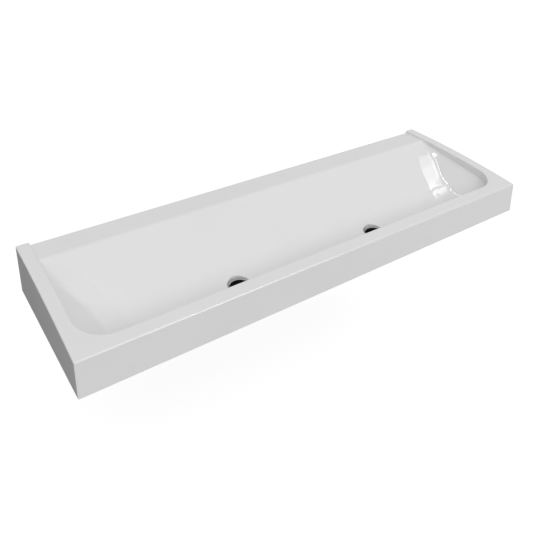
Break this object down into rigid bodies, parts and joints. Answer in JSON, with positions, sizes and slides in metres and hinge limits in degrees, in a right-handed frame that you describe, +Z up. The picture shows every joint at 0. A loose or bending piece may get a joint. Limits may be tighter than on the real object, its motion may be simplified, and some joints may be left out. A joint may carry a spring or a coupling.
{
  "type": "trough sink",
  "caption": "Long wall-hung trough sink with a raked back panel, scooped ends, a low front rim and open chromed wastes in its floor.",
  "frame": {"origin": "on the wall face, midway along the trough and level with the four studs, 75 mm above the lower edge", "axes": "+X along the wall to the user's right, +Y into the wall, +Z up; the user stands on the -Y side"},
  "size_m": [1.6, 0.573, 0.213],
  "materials": {
    "white_gelcoat": "glossy white gelcoat on mineral casting",
    "polished_chrome": "polished chrome on brass",
    "black_rubber": "matt black rubber",
    "white_nylon": "natural white nylon",
    "cast_brass": "machined brass",
    "zinc_steel": "bright zinc plating on steel"
  },
  "bodies": {
    "root": {"trough_body": "white_gelcoat", "waste_left": "polished_chrome", "waste_right": "polished_chrome", "flange_seal_left": "black_rubber", "flange_seal_right": "black_rubber", "back_gasket_left": "black_rubber", "back_gasket_right": "black_rubber", "slip_washer_left": "white_nylon", "slip_washer_right": "white_nylon", "back_nut_left": "cast_brass", "back_nut_right": "cast_brass", "wall_stud_1": "zinc_steel", "wall_stud_2": "zinc_steel", "wall_stud_3": "zinc_steel", "wall_stud_4": "zinc_steel", "stud_collar_1": "white_nylon", "stud_collar_2": "white_nylon", "stud_collar_3": "white_nylon", "stud_collar_4": "white_nylon", "stud_washer_1": "zinc_steel", "stud_washer_2": "zinc_steel", "stud_washer_3": "zinc_steel", "stud_washer_4": "zinc_steel", "stud_nut_1": "zinc_steel", "stud_nut_2": "zinc_steel", "stud_nut_3": "zinc_steel", "stud_nut_4": "zinc_steel"}
  },
  "joints": []
}
